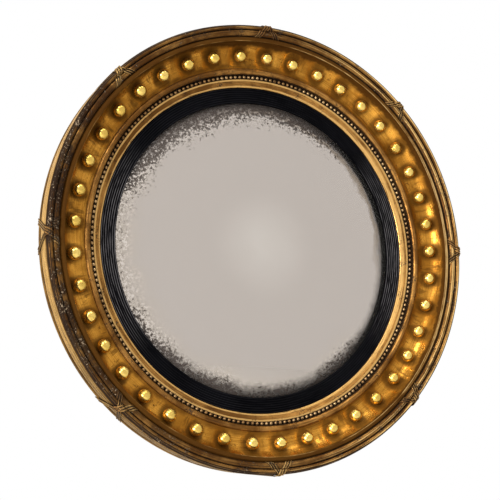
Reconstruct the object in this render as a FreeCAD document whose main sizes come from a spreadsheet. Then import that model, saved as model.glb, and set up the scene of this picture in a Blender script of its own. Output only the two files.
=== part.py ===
import FreeCAD, Part
import os
import re
import Sketcher

# A convex butler's mirror about 610 mm across.  A domed plate of silvered glass
# sits behind an ebonised reeded slip in a gilt frame that is turned from rings:
# a sight ring with a string of pearls, a deep hollow with a circle of balls, and
# an outer ring of reeds that crossed ribbons bind in eight places.
#
# Frame of the model: X to the right, Z up, and the face looks along -Y.  The
# origin is on the mirror's axis in the plane of the wall.  "Depth" below is a
# distance out from the wall, so a point at depth d has y = -d, and "radius" is a
# distance from the axis.  Angles run anticlockwise from +X as the viewer sees it.

SIZES = {
    # the frame's own stack, from the wall outwards
    "wall_gap": 7.0,              # cork pads hold the frame this far off the wall
    "back_thickness": 18.0,       # back ring, the flat wooden hoop behind it all
    "back_inset": 9.0,            # the back ring is this much smaller than the rim
    "back_chamfer": 3.0,          # softened outer edge at the wall
    # the hollow and its balls
    "ball_diameter": 17.5,
    "ball_sink": 0.75,            # how far a ball beds into the hollow
    "ball_tilt": 23.0,            # lean of a ball's peg, outwards from the axis
    "ball_count": 41,
    "ball_phase": -2.0,           # angle of the first ball
    "peg_diameter": 4.0,
    "peg_length": 7.0,            # from the ball's skin
    "peg_clearance": 0.05,
    "peg_bore_spare": 1.0,        # the bore is this much deeper than the peg
    "hollow_radius": 22.0,
    "hollow_floor": 16.0,         # wood left behind the deepest part of the hollow
    "hollow_joint_reach": 9.5,    # from the hollow's centre in to the sight ring
    # the lip between the hollow and the reeds
    "lip_height": 43.5,           # of the hollow's outer edge, over the back ring
    "lip_width": 4.6,
    "lip_rise": 0.4,
    "lip_bevel_width": 2.2,
    "lip_bevel_drop": 2.4,
    # the reeds, from the lip outwards
    "broad_reed_width": 9.3,
    "broad_reed_crown": 3.9,
    "broad_reed_step": 2.9,       # its outer groove is this much higher
    "thin_reed_width": 5.3,
    "thin_reed_crown": 4.2,
    "thin_reed_step": 0.8,
    "shoulder_width": 1.8,        # the great outer reed, its rounded shoulder
    "shoulder_drop": 5.2,
    "shoulder_crown": 0.8,
    "side_height": 24.6,          # and its nearly flat side
    "side_crown": 0.35,
    "side_quirk_width": 1.6,      # the groove below it
    "side_quirk_height": 2.6,
    "foot_reed_crown": 1.4,       # the last reed, next to the wall
    "foot_reed_lean": 0.9,
    # the sight ring
    "bead_width": 8.2,
    "bead_drop": 2.7,
    "bead_crown": 3.6,
    "channel_width": 5.6,
    "channel_height": 10.3,       # its floor, over the back ring
    "sight_fillet_width": 1.4,
    "sight_fillet_rise": 1.3,
    "sight_slope_width": 7.3,
    "sight_slope_drop": 4.4,
    "sight_nose_width": 1.4,
    "sight_nose_drop": 1.5,
    "sight_nose_crown": 0.35,
    "sight_edge_height": 1.2,     # thickness of the gilt edge over the slip
    "slip_cover": 6.8,            # how far the sight ring laps over the slip
    # the pearls
    "pearl_count": 221,
    "pearl_diameter": 4.8,
    "pearl_sink": 0.6,            # how far a pearl is let into its backing strip
    "pearl_strip_thickness": 0.6,
    "pearl_strip_clearance": 0.2,
    # the ebonised slip
    "sight_radius": 205.8,        # of the glass that shows; every other radius follows it
    "slip_width": 21.33,          # of the black that shows
    "slip_clearance": 0.3,
    "slip_reed_count": 7,
    "slip_reed_crown": 0.7,
    "slip_slope_drop": 2.0,
    "slip_edge_thickness": 1.4,
    # the glass and what holds it
    "glass_sphere_radius": 1000.0,
    "glass_thickness": 3.0,
    "glass_lap": 7.2,             # how far it reaches behind the slip
    "glass_clearance": 0.3,
    "silver_thickness": 0.2,
    "silver_clearance": 0.3,      # behind the glass
    "silver_margin": 2.0,
    "rebate_clearance": 1.5,      # round the glass, inside the back ring
    "block_count": 12,
    "block_width": 30.0,
    "block_reach": 8.0,           # inwards from the back ring
    "block_clearance": 0.3,       # behind the glass
    "board_thickness": 6.0,
    "board_recess": 2.0,          # the back board lies this far in
    "board_ledge": 13.0,          # width of the ledge that it lies on
    "board_clearance": 0.5,
    # screws
    "board_screw_count": 8,
    "board_screw_diameter": 3.5,
    "board_screw_head": 7.0,
    "board_screw_length": 13.0,
    "frame_screw_count": 12,
    "frame_screw_diameter": 4.5,
    "frame_screw_head": 9.0,
    "frame_screw_length": 27.0,
    "frame_screw_inset": 9.0,     # inside the circle of balls
    "screw_clearance": 0.05,
    "slot_width": 1.0,
    "slot_depth": 0.9,
    # the ribbons
    "tie_count": 8,
    "tie_phase": -2.4,
    "ribbon_width": 7.5,
    "ribbon_thickness": 1.3,
    "ribbon_face_splay": 16.0,    # half spread of the ends beside the lip
    "ribbon_side_splay": 20.0,    # half spread of the ends beside the wall
    "ribbon_bridge": 2.4,         # how far it stretches clear of the grooves by the thin reed
    "ribbon_foot_crown": 0.7,
    "ribbon_root": 3.0,           # how deep the band is drawn before the reeds are cut away
    # how far the blocks that cut the band into legs stand out from the crossing
    "cutter_front": 15.0,
    "cutter_back": 7.5,
    "cutter_out": 9.0,
    # the hangers
    "hanger_angle": 35.0,         # above the horizontal
    "strap_width": 16.0,
    "strap_length": 46.0,
    "strap_thickness": 1.5,
    "strap_screw_first": 22.0,    # below the hinge
    "strap_screw_pitch": 15.0,
    "strap_screw_diameter": 3.5,
    "strap_screw_head": 6.4,
    "strap_screw_length": 13.0,
    "knuckle_width": 12.0,
    "knuckle_wall": 1.2,
    "ring_wire_diameter": 3.0,
    "ring_width": 22.0,           # between the middles of its two legs
    "ring_leg": 8.0,
    "ring_bore_clearance": 0.08,
    "ring_rest_gap": 0.3,         # between the hanging ring and its strap
    # the pads that meet the wall
    "pad_diameter": 20.0,
    "pad_spread": 30.0,           # of each pair, either side of the vertical
}

# Derived places, as formulas over the sizes: radii from the glass outwards, then
# depths from the wall.
EDGE_RADIUS = "(sight_radius + slip_width)"
NOSE_RADIUS = f"({EDGE_RADIUS} + sight_nose_width)"
SLOPE_RADIUS = f"({NOSE_RADIUS} + sight_slope_width)"
FILLET_RADIUS = f"({SLOPE_RADIUS} + sight_fillet_width)"
PEARL_RADIUS = f"({FILLET_RADIUS} + channel_width / 2)"
CHANNEL_RADIUS = f"({FILLET_RADIUS} + channel_width)"
JOINT_RADIUS = f"({CHANNEL_RADIUS} + bead_width)"
HOLLOW_CENTRE = f"({JOINT_RADIUS} + hollow_joint_reach)"
BALL_REACH = "(hollow_radius - ball_diameter / 2 + ball_sink)"
BALL_CIRCLE = f"({HOLLOW_CENTRE} + {BALL_REACH} * sin(ball_tilt))"
LIP_RADIUS = f"({HOLLOW_CENTRE} + sqrt(hollow_radius^2 - (lip_height - hollow_floor - hollow_radius)^2))"
REEDS_RADIUS = f"({LIP_RADIUS} + lip_width + lip_bevel_width)"
THIN_RADIUS = f"({REEDS_RADIUS} + broad_reed_width)"
SHOULDER_RADIUS = f"({THIN_RADIUS} + thin_reed_width)"
SIDE_RADIUS = f"({SHOULDER_RADIUS} + shoulder_width)"
QUIRK_RADIUS = f"({SIDE_RADIUS} - side_quirk_width)"
BACK_RADIUS = f"({SIDE_RADIUS} - back_inset)"
SLIP_OUTER = f"({EDGE_RADIUS} + slip_cover)"
GLASS_RADIUS = "(sight_radius + glass_lap)"
OPENING_RADIUS = f"({GLASS_RADIUS} + rebate_clearance)"
LEDGE_RADIUS = f"({OPENING_RADIUS} + board_ledge)"
HANGER_RADIUS = f"(({LEDGE_RADIUS} + {BACK_RADIUS}) / 2)"

RIM_BACK = "(wall_gap + back_thickness)"
HOLLOW_DEPTH = f"({RIM_BACK} + hollow_floor + hollow_radius)"
BALL_DEPTH = f"({HOLLOW_DEPTH} - {BALL_REACH} * cos(ball_tilt))"
JOINT_DEPTH = f"({HOLLOW_DEPTH} - sqrt(hollow_radius^2 - hollow_joint_reach^2))"
LIP_DEPTH = f"({RIM_BACK} + lip_height)"
REEDS_DEPTH = f"({LIP_DEPTH} + lip_rise - lip_bevel_drop)"
THIN_DEPTH = f"({REEDS_DEPTH} + broad_reed_step)"
SHOULDER_DEPTH = f"({THIN_DEPTH} + thin_reed_step)"
SIDE_TOP = f"({SHOULDER_DEPTH} - shoulder_drop)"
SIDE_FOOT = f"({SIDE_TOP} - side_height)"
CHANNEL_FLOOR = f"({RIM_BACK} + channel_height)"
FILLET_DEPTH = f"({CHANNEL_FLOOR} + sight_fillet_rise)"
NOSE_DEPTH = f"({FILLET_DEPTH} - sight_slope_drop)"
EDGE_DEPTH = f"({NOSE_DEPTH} - sight_nose_drop)"
SLIP_TOP = f"({EDGE_DEPTH} - sight_edge_height)"
SLIP_FACE = f"({SLIP_TOP} - slip_slope_drop)"
SLIP_SEAT = f"({SLIP_FACE} - slip_edge_thickness)"
SPHERE_DEPTH = f"({SLIP_SEAT} - glass_clearance - sqrt(glass_sphere_radius^2 - sight_radius^2))"
BOARD_BACK = "(wall_gap + board_recess)"
BOARD_FRONT = f"({BOARD_BACK} + board_thickness)"
HINGE_DEPTH = "(wall_gap - strap_thickness - ring_rest_gap - ring_wire_diameter / 2)"
BORE_RADIUS = "(ring_wire_diameter / 2 + ring_bore_clearance)"

document = FreeCAD.newDocument("ButlersMirror")
sheet = document.addObject("Spreadsheet::Sheet", "Sizes")
for line, (word, size) in enumerate(SIZES.items(), start=1):
    sheet.set(f"A{line}", word)
    sheet.set(f"B{line}", str(size))
    sheet.setAlias(f"B{line}", word)
document.recompute()

nodes = []

# Below this a distance is nothing.
NOTHING = 1e-7


def bound(formula):
    """The formula with each size read from the sheet."""
    return re.sub(r"[a-z_]+", lambda m: f"Sizes.{m.group()}" if m.group() in SIZES else m.group(), formula)


def number(formula):
    """What the formula comes to now."""
    result = sheet.evalExpression(bound(formula))
    return float(getattr(result, "Value", result))


def finished(piece, label):
    """Name a finished piece and put it on the list of parts."""
    piece.Label = label
    nodes.append(piece)
    return piece


def bulge(start, end, crown):
    """Midpoint of an arc that rises by crown on the right of the way from start to end."""
    along = FreeCAD.Vector(end - start).normalize()
    return (start + end) / 2 + FreeCAD.Vector(along.y, -along.x, 0) * crown


def outline(body, name, corners):
    """Sketch a closed outline in the body's XY plane, every corner tied to the sheet.

    The corners run out along the face, back along the side and in along the back.
    One is (radius, depth), or (radius, depth, crown) where an arc that stands out of
    the wood by that crown begins.  A negative crown makes a hollow.
    """
    plane = next(part for part in body.Origin.OriginFeatures if part.Role == "XY_Plane")
    sketch = body.newObject("Sketcher::SketchObject", name)
    sketch.AttachmentSupport = (plane, "")
    sketch.MapMode = "FlatFace"
    points = [FreeCAD.Vector(number(corner[0]), -number(corner[1]), 0) for corner in corners]
    ends = []
    for index, corner in enumerate(corners):
        here, there = points[index], points[(index + 1) % len(points)]
        if len(corner) == 2:
            sketch.addGeometry(Part.LineSegment(here, there), False)
        else:
            sketch.addGeometry(Part.Arc(here, bulge(here, there, number(corner[2])), there), False)
        # The sketcher numbers the two ends 1 and 2, and an arc's run anticlockwise.
        ends.append((1, 2) if sketch.getPoint(index, 1).distanceToPoint(here) < NOTHING else (2, 1))
    for index, corner in enumerate(corners):
        after = (index + 1) % len(corners)
        sketch.addConstraint(Sketcher.Constraint("Coincident", index, ends[index][1], after, ends[after][0]))
        origin, point = (-1, 1), (index, ends[index][0])
        bind_dimension(sketch, "DistanceX", origin + point, corner[0], f"Radius{index}")
        bind_dimension(sketch, "DistanceY", point + origin, corner[1], f"Depth{index}")
        if len(corner) == 3:
            across, down = (f"({corners[after][side]} - {corner[side]})" for side in (0, 1))
            crown = f"abs({corner[2]})"
            radius = f"({across}^2 + {down}^2) / (8 * {crown}) + {crown} / 2"
            bind_dimension(sketch, "Radius", (index,), radius, f"Arc{index}")
    return sketch


def bind_dimension(sketch, kind, places, formula, name):
    """Add one dimension to a sketch and bind it to its formula.

    A corner at no distance from the turning axis is tied to that axis instead.
    """
    size = number(formula)
    if abs(size) < NOTHING:
        upright = -2
        sketch.addConstraint(Sketcher.Constraint("PointOnObject", *places[-2:], upright))
        return
    sketch.addConstraint(Sketcher.Constraint(kind, *places, size))
    sketch.renameConstraint(sketch.ConstraintCount - 1, name)
    sketch.setExpression(f"Constraints.{name}", bound(formula))


def turned(name, corners, angle="360"):
    """A piece turned about the mirror's axis from an outline of (radius, depth) corners."""
    body = document.addObject("PartDesign::Body", name)
    sketch = outline(body, f"{name}_outline", corners)
    turn = body.newObject("PartDesign::Revolution", f"{name}_turning")
    turn.Profile = sketch
    turn.ReferenceAxis = (sketch, ["V_Axis"])
    turn.setExpression("Angle", bound(angle))
    sketch.Visibility = False
    return body


def primitive(kind, name, placement=None, **sizes):
    """A primitive solid with its sizes and its place bound to formulas."""
    solid = document.addObject(f"Part::{kind}", name)
    for prop, formula in sizes.items():
        solid.setExpression(prop, bound(formula))
    if placement:
        solid.setExpression("Placement", bound(placement))
    return solid


def group(kind, name, pieces):
    """A fusion, a compound or an intersection of several pieces."""
    joined = document.addObject(f"Part::{kind}", name)
    if kind == "Compound":
        joined.Links = pieces
    else:
        joined.Shapes = pieces
    return joined


def cut(base, tool, name):
    """The base with the tool taken out of it."""
    result = document.addObject("Part::Cut", name)
    result.Base = base
    result.Tool = tool
    return result


def place(radius, depth, angle, lean="0"):
    """Placement at a radius, depth and angle; local +Y points at the wall, leaning outwards."""
    spin = f"rotation(vector(0; -1; 0); {angle}) * rotation(vector(0; 0; 1); -({lean}))"
    return f"placement(vector({radius} * cos({angle}); -({depth}); {radius} * sin({angle})); {spin})"


def facing(placement, tilt):
    """The placement turned about its own X: -90 drives +Z at the wall, 90 away from it."""
    return f"{placement} * placement(vector(0; 0; 0); rotation(vector(1; 0; 0); {tilt}))"


def screw(name, placement, sort, spare="0"):
    """A countersunk screw along +Z from its head, or its hole where a clearance is spare."""
    head = f"({sort}_head / 2 + {spare})"
    shank = f"({sort}_diameter / 2 + {spare})"
    taper = primitive("Cone", f"{name}_head", Radius1=head, Radius2=shank, Height=f"{head} - {shank}")
    stem = primitive("Cylinder", f"{name}_stem", Radius=shank, Height=f"{sort}_length + {spare}")
    solid = group("MultiFuse", name, [taper, stem])
    solid.setExpression("Placement", bound(placement))
    return solid


def slotted(name, placement, sort):
    """A screw with a slot across its head."""
    blade = primitive("Box", f"{name}_slot", Length=f"{sort}_head", Width="slot_width", Height="slot_depth",
                      Placement=f"{placement} * placement(vector(-{sort}_head / 2; -slot_width / 2; 0); "
                                "rotation(vector(0; 0; 1); 0))")
    return cut(screw(f"{name}_blank", placement, sort), blade, name)


# The gilt hollow, with a seat for each ball and a bore for its peg.
chord = f"(({LIP_RADIUS} - {JOINT_RADIUS})^2 + ({LIP_DEPTH} - {JOINT_DEPTH})^2)"
hollow_blank = turned("hollow_blank", [
    (JOINT_RADIUS, JOINT_DEPTH, f"-(hollow_radius - sqrt(hollow_radius^2 - {chord} / 4))"),
    (LIP_RADIUS, LIP_DEPTH),
    (f"({LIP_RADIUS} + lip_width)", f"({LIP_DEPTH} + lip_rise)"),
    (REEDS_RADIUS, REEDS_DEPTH),
    (REEDS_RADIUS, RIM_BACK),
    (JOINT_RADIUS, RIM_BACK),
])
balls, sockets = [], []
for turn in range(int(SIZES["ball_count"])):
    angle = f"(ball_phase + {turn} * 360 / ball_count)"
    seat = facing(place(BALL_CIRCLE, BALL_DEPTH, angle, "ball_tilt"), -90)
    word = f"ball_{turn + 1:02d}"
    sphere = primitive("Sphere", f"{word}_sphere", Radius="ball_diameter / 2")
    peg = primitive("Cylinder", f"{word}_peg", Radius="peg_diameter / 2",
                    Height="ball_diameter / 2 + peg_length")
    ball = group("MultiFuse", word, [sphere, peg])
    ball.setExpression("Placement", bound(seat))
    balls.append(finished(ball, word))
    dish = primitive("Sphere", f"{word}_dish", Radius="ball_diameter / 2 + peg_clearance")
    bore = primitive("Cylinder", f"{word}_bore", Radius="peg_diameter / 2 + peg_clearance",
                     Height="ball_diameter / 2 + peg_length + peg_bore_spare")
    socket = group("MultiFuse", f"{word}_socket", [dish, bore])
    socket.setExpression("Placement", bound(seat))
    sockets.append(socket)

# The screws that hold the back ring to the hollow, driven from behind.
frame_screws, frame_holes = [], []
for turn in range(int(SIZES["frame_screw_count"])):
    spot = facing(place(f"({BALL_CIRCLE} - frame_screw_inset)", "wall_gap",
                        f"({turn} * 360 / frame_screw_count)"), 90)
    frame_screws.append(slotted(f"frame_screw_{turn + 1}", spot, "frame_screw"))
    frame_holes.append(screw(f"frame_hole_{turn + 1}", spot, "frame_screw", "screw_clearance"))
finished(group("Compound", "frame_screw_set", frame_screws), "frame_screws")
hollow_tools = group("Compound", "hollow_bores", sockets + frame_holes)
finished(cut(hollow_blank, hollow_tools, "hollow_bored"), "hollow_ring")

# The outer ring: a broad reed, a thin one, the great one that rolls over the
# shoulder and down the side, and a last one at the foot.
reeded_ring = turned("reeded_blank", [
    (REEDS_RADIUS, REEDS_DEPTH, "broad_reed_crown"),
    (THIN_RADIUS, THIN_DEPTH, "thin_reed_crown"),
    (SHOULDER_RADIUS, SHOULDER_DEPTH, "shoulder_crown"),
    (SIDE_RADIUS, SIDE_TOP, "side_crown"),
    (SIDE_RADIUS, SIDE_FOOT),
    (QUIRK_RADIUS, f"({SIDE_FOOT} - side_quirk_height / 2)"),
    (f"({SIDE_RADIUS} - side_crown)", f"({SIDE_FOOT} - side_quirk_height)", "foot_reed_crown"),
    (f"({SIDE_RADIUS} - foot_reed_lean)", RIM_BACK),
    (REEDS_RADIUS, RIM_BACK),
])
finished(reeded_ring, "reeded_ring")

# The sight ring: a bead beside the hollow, the pearls' channel, a fillet, a slope
# and a rounded nose that laps over the slip.
sight_ring = turned("sight_blank", [
    (EDGE_RADIUS, SLIP_TOP),
    (EDGE_RADIUS, EDGE_DEPTH, "sight_nose_crown"),
    (NOSE_RADIUS, NOSE_DEPTH),
    (SLOPE_RADIUS, FILLET_DEPTH),
    (FILLET_RADIUS, FILLET_DEPTH),
    (FILLET_RADIUS, CHANNEL_FLOOR),
    (CHANNEL_RADIUS, CHANNEL_FLOOR),
    (CHANNEL_RADIUS, f"({JOINT_DEPTH} - bead_drop)", "bead_crown"),
    (JOINT_RADIUS, JOINT_DEPTH),
    (JOINT_RADIUS, RIM_BACK),
    (SLIP_OUTER, RIM_BACK),
    (SLIP_OUTER, SLIP_TOP),
])
finished(sight_ring, "sight_ring")

# The pearls: round beads on a thin backing strip that lies in the channel.
strip = turned("pearl_strip", [
    (f"({FILLET_RADIUS} + pearl_strip_clearance)", f"({CHANNEL_FLOOR} + pearl_strip_thickness)"),
    (f"({CHANNEL_RADIUS} - pearl_strip_clearance)", f"({CHANNEL_FLOOR} + pearl_strip_thickness)"),
    (f"({CHANNEL_RADIUS} - pearl_strip_clearance)", CHANNEL_FLOOR),
    (f"({FILLET_RADIUS} + pearl_strip_clearance)", CHANNEL_FLOOR),
])
PEARL_DEPTH = f"({CHANNEL_FLOOR} + pearl_strip_thickness - pearl_sink + pearl_diameter / 2)"
bead = primitive("Sphere", "pearl", Radius="pearl_diameter / 2",
                 Angle1="-asin(1 - 2 * pearl_sink / pearl_diameter)",
                 Placement=facing(place(PEARL_RADIUS, PEARL_DEPTH, "0"), 90))

# The ebonised slip, a flat ring with fine reeds that falls a little towards the glass.
# A reed is two arcs of one circle, which meet on its crest.
REED_CHORD = "(sqrt(slip_width^2 + slip_slope_drop^2) / slip_reed_count)"
REED_CURVE = f"({REED_CHORD}^2 / (8 * slip_reed_crown) + slip_reed_crown / 2)"
REED_HALF_CROWN = f"({REED_CURVE} - sqrt({REED_CURVE}^2 - ({REED_CHORD}^2 / 4 + slip_reed_crown^2) / 4))"
CREST_LEAN = f"(slip_reed_crown * slip_slope_drop / slip_reed_count / {REED_CHORD})"
CREST_RISE = f"(slip_reed_crown * slip_width / slip_reed_count / {REED_CHORD})"
reed_corners = []
for reed in range(int(SIZES["slip_reed_count"])):
    foot, crest = f"{reed} / slip_reed_count", f"({reed} + 1 / 2) / slip_reed_count"
    reed_corners.append((f"(sight_radius + slip_width * {foot})",
                         f"({SLIP_FACE} + slip_slope_drop * {foot})", REED_HALF_CROWN))
    reed_corners.append((f"(sight_radius + slip_width * {crest} - {CREST_LEAN})",
                         f"({SLIP_FACE} + slip_slope_drop * {crest} + {CREST_RISE})", REED_HALF_CROWN))
slip = turned("slip_blank", [("sight_radius", SLIP_SEAT)] + reed_corners + [
    (EDGE_RADIUS, SLIP_TOP),
    (f"({SLIP_OUTER} - slip_clearance)", SLIP_TOP),
    (f"({SLIP_OUTER} - slip_clearance)", RIM_BACK),
    (OPENING_RADIUS, RIM_BACK),
])
finished(slip, "ebonised_slip")


def dome(name, front, back, edge):
    """A domed plate between two spheres about one centre, out to an edge radius."""
    lean = f"({edge} / {front})"
    rim = f"({edge} * {back} / {front})"
    across = f"({edge}^2 + ({front} - sqrt({front}^2 - {edge}^2))^2)"
    behind = f"({rim}^2 + ({back} - sqrt({back}^2 - {rim}^2))^2)"
    return turned(name, [
        ("0", f"({SPHERE_DEPTH} + {back})", f"({back} - sqrt({back}^2 - {behind} / 4))"),
        (rim, f"({SPHERE_DEPTH} + {back} * sqrt(1 - {lean}^2))"),
        (edge, f"({SPHERE_DEPTH} + {front} * sqrt(1 - {lean}^2))",
         f"-({front} - sqrt({front}^2 - {across} / 4))"),
        ("0", f"({SPHERE_DEPTH} + {front})"),
    ])


glass_back = "(glass_sphere_radius - glass_thickness)"
silver_face = f"({glass_back} - silver_clearance)"
silver_back = f"({silver_face} - silver_thickness)"
finished(dome("glass_dome", "glass_sphere_radius", glass_back, GLASS_RADIUS), "mirror_glass")
finished(dome("silver_dome", silver_face, silver_back, f"({GLASS_RADIUS} - silver_margin)"), "silvering")

# Softwood blocks, glued inside the back ring halfway between the frame screws, keep
# the glass against the slip.
GLASS_HEEL = f"({SPHERE_DEPTH} + {glass_back} * sqrt(1 - ({GLASS_RADIUS} / glass_sphere_radius)^2))"
BLOCK_RADIUS = f"sqrt({OPENING_RADIUS}^2 - (block_width / 2)^2)"
blocks = []
for turn in range(int(SIZES["block_count"])):
    corner = (f"{place(BLOCK_RADIUS, BOARD_FRONT, f'(({turn} + 1 / 2) * 360 / block_count)')} * placement("
              f"vector(-block_reach; -({GLASS_HEEL} - block_clearance - {BOARD_FRONT}); -block_width / 2); "
              "rotation(vector(0; 0; 1); 0))")
    blocks.append(primitive("Box", f"block_{turn + 1}", corner, Length="block_reach",
                            Width=f"{GLASS_HEEL} - block_clearance - {BOARD_FRONT}", Height="block_width"))
finished(group("Compound", "block_set", blocks), "glazing_blocks")

# The back board and its screws.
BOARD_SCREW_RADIUS = f"({OPENING_RADIUS} + board_ledge / 2)"
board_blank = turned("board_blank", [
    ("0", BOARD_FRONT),
    (f"({LEDGE_RADIUS} - board_clearance)", BOARD_FRONT),
    (f"({LEDGE_RADIUS} - board_clearance)", BOARD_BACK),
    ("0", BOARD_BACK),
])
board_screws, board_holes = [], []
for turn in range(int(SIZES["board_screw_count"])):
    spot = facing(place(BOARD_SCREW_RADIUS, BOARD_BACK, f"({turn} * 360 / board_screw_count)"), 90)
    board_screws.append(slotted(f"board_screw_{turn + 1}", spot, "board_screw"))
    board_holes.append(screw(f"board_hole_{turn + 1}", spot, "board_screw", "screw_clearance"))
finished(group("Compound", "board_screw_set", board_screws), "back_board_screws")
board_tools = group("Compound", "board_bores", board_holes)
finished(cut(board_blank, board_tools, "board_bored"), "back_board")

# Two hangers: a strap with a knuckle, and a D ring that swings in it about X.
HANGER_X = f"({HANGER_RADIUS} * cos(hanger_angle))"
HANGER_Z = f"({HANGER_RADIUS} * sin(hanger_angle) + strap_screw_first - strap_screw_pitch / 2)"
STRAP_FACE = f"({HINGE_DEPTH} - wall_gap)"
KNUCKLE_RADIUS = f"({BORE_RADIUS} + knuckle_wall)"
LEVEL = "rotation(vector(0; 0; 1); 0)"
ACROSS = "rotation(vector(0; 1; 0); 90)"
INTO_WOOD = "rotation(vector(1; 0; 0); 90)"
hanger_screws, hanger_holes = [], []
for side, sign in (("left", "-"), ("right", "")):
    spot = f"vector({sign}{HANGER_X}; -{HINGE_DEPTH}; {HANGER_Z})"
    holes = []
    for row in range(2):
        down = f"(strap_screw_first + {row} * strap_screw_pitch)"
        driven = (f"placement(vector({sign}{HANGER_X}; -(wall_gap - strap_thickness); {HANGER_Z} - {down}); "
                  f"{INTO_WOOD})")
        hanger_screws.append(slotted(f"{side}_hanger_screw_{row + 1}", driven, "strap_screw"))
        holes.append(screw(f"{side}_hanger_hole_{row + 1}", driven, "strap_screw", "screw_clearance"))
    hanger_holes += holes
    strap = primitive("Box", f"{side}_strap", f"placement(vector(-strap_width / 2; {STRAP_FACE}; "
                      f"-strap_length + strap_width / 2); {LEVEL})", Length="strap_width",
                      Width="strap_thickness", Height="strap_length - strap_width / 2")
    heel = primitive("Cylinder", f"{side}_strap_end", f"placement(vector(0; {STRAP_FACE} + strap_thickness; "
                     f"-strap_length + strap_width / 2); {INTO_WOOD})", Radius="strap_width / 2",
                     Height="strap_thickness")
    knuckle = primitive("Cylinder", f"{side}_knuckle",
                        f"placement(vector(-knuckle_width / 2; 0; 0); {ACROSS})",
                        Radius=KNUCKLE_RADIUS, Height="knuckle_width")
    eye = primitive("Cylinder", f"{side}_eye", f"placement({spot}; {LEVEL}) * placement("
                    f"vector(-strap_width; 0; 0); {ACROSS})", Radius=BORE_RADIUS, Height="2 * strap_width")
    plate = group("MultiFuse", f"{side}_plate_blank", [strap, heel, knuckle])
    plate.setExpression("Placement", bound(f"placement({spot}; {LEVEL})"))
    bores = group("Compound", f"{side}_plate_bores", [eye] + holes)
    finished(cut(plate, bores, f"{side}_plate"), f"hanger_plate_{side}")

    wire = "ring_wire_diameter / 2"
    bow = primitive("Torus", f"{side}_bow",
                    "placement(vector(0; 0; -ring_leg); rotation(vector(1; 0; 0); -90))",
                    Radius1="ring_width / 2", Radius2=wire, Angle3="180")
    bar = primitive("Cylinder", f"{side}_bar", f"placement(vector(-ring_width / 2; 0; 0); {ACROSS})",
                    Radius=wire, Height="ring_width")
    limbs = [bow, bar]
    for end, out in (("outer", "-"), ("inner", "")):
        elbow = f"vector({out}ring_width / 2; 0; 0)"
        foot = f"vector({out}ring_width / 2; 0; -ring_leg)"
        limbs.append(primitive("Sphere", f"{side}_{end}_bend", f"placement({elbow}; {LEVEL})", Radius=wire))
        limbs.append(primitive("Cylinder", f"{side}_{end}_leg", f"placement({foot}; {LEVEL})", Radius=wire,
                               Height="ring_leg"))
    ring = group("MultiFuse", f"{side}_ring", limbs)
    ring.setExpression("Placement", bound(f"placement({spot}; {LEVEL})"))
    finished(ring, f"d_ring_{side}")
finished(group("Compound", "hanger_screw_set", hanger_screws), "hanger_screws")

# The back ring carries the whole frame: the rings in front are screwed to it, the
# glass stands in its opening and the back board lies on its ledge.
back_blank = turned("back_blank", [
    (OPENING_RADIUS, RIM_BACK),
    (BACK_RADIUS, RIM_BACK),
    (BACK_RADIUS, "(wall_gap + back_chamfer)"),
    (f"({BACK_RADIUS} - back_chamfer)", "wall_gap"),
    (LEDGE_RADIUS, "wall_gap"),
    (LEDGE_RADIUS, BOARD_FRONT),
    (OPENING_RADIUS, BOARD_FRONT),
])
back_tools = group("Compound", "back_bores", frame_holes + board_holes + hanger_holes)
finished(cut(back_blank, back_tools, "back_bored"), "back_ring")

# Cork pads between the back ring and the wall.
pads = []
for upright in ("90", "270"):
    for side in ("-", "+"):
        spot = facing(place(HANGER_RADIUS, "0", f"({upright} {side} pad_spread)"), 90)
        pads.append(primitive("Cylinder", f"pad_{len(pads) + 1}", spot, Radius="pad_diameter / 2",
                              Height="wall_gap"))
finished(group("Compound", "pad_set", pads), "wall_pads")

# The ribbons: a band over the reeds, cut to crossed legs that spread from the
# shoulder to the lip on the face and to the wall on the side.
band = turned("ribbon_band", [
    (REEDS_RADIUS, f"({REEDS_DEPTH} + ribbon_thickness)", "broad_reed_crown"),
    (THIN_RADIUS, f"({THIN_DEPTH} + ribbon_thickness + ribbon_bridge)", "(thin_reed_crown - ribbon_bridge)"),
    (f"({SHOULDER_RADIUS} + ribbon_thickness / 2)", f"({SHOULDER_DEPTH} + ribbon_thickness + ribbon_bridge)",
     "shoulder_crown"),
    (f"({SIDE_RADIUS} + ribbon_thickness)", SIDE_TOP, "side_crown"),
    (f"({SIDE_RADIUS} + ribbon_thickness)", SIDE_FOOT),
    (f"({SIDE_RADIUS} + ribbon_thickness)", f"({SIDE_FOOT} - side_quirk_height)", "ribbon_foot_crown"),
    (f"({SIDE_RADIUS} - foot_reed_lean + ribbon_thickness)", RIM_BACK),
    (f"({SIDE_RADIUS} - ribbon_root)", RIM_BACK),
    (f"({SIDE_RADIUS} - ribbon_root)", SIDE_TOP),
    (THIN_RADIUS, REEDS_DEPTH),
    (REEDS_RADIUS, REEDS_DEPTH),
])
FACE_REACH = f"({SHOULDER_RADIUS} - {REEDS_RADIUS})"
FACE_LENGTH = f"(sqrt({FACE_REACH}^2 + ribbon_face_splay^2) + ribbon_width)"
SIDE_REACH = f"({SHOULDER_DEPTH} - {RIM_BACK})"
SIDE_LENGTH = f"(sqrt({SIDE_REACH}^2 + ribbon_side_splay^2) + ribbon_width)"
crossing = place(SHOULDER_RADIUS, SHOULDER_DEPTH, "tie_phase")
legs = []
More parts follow.
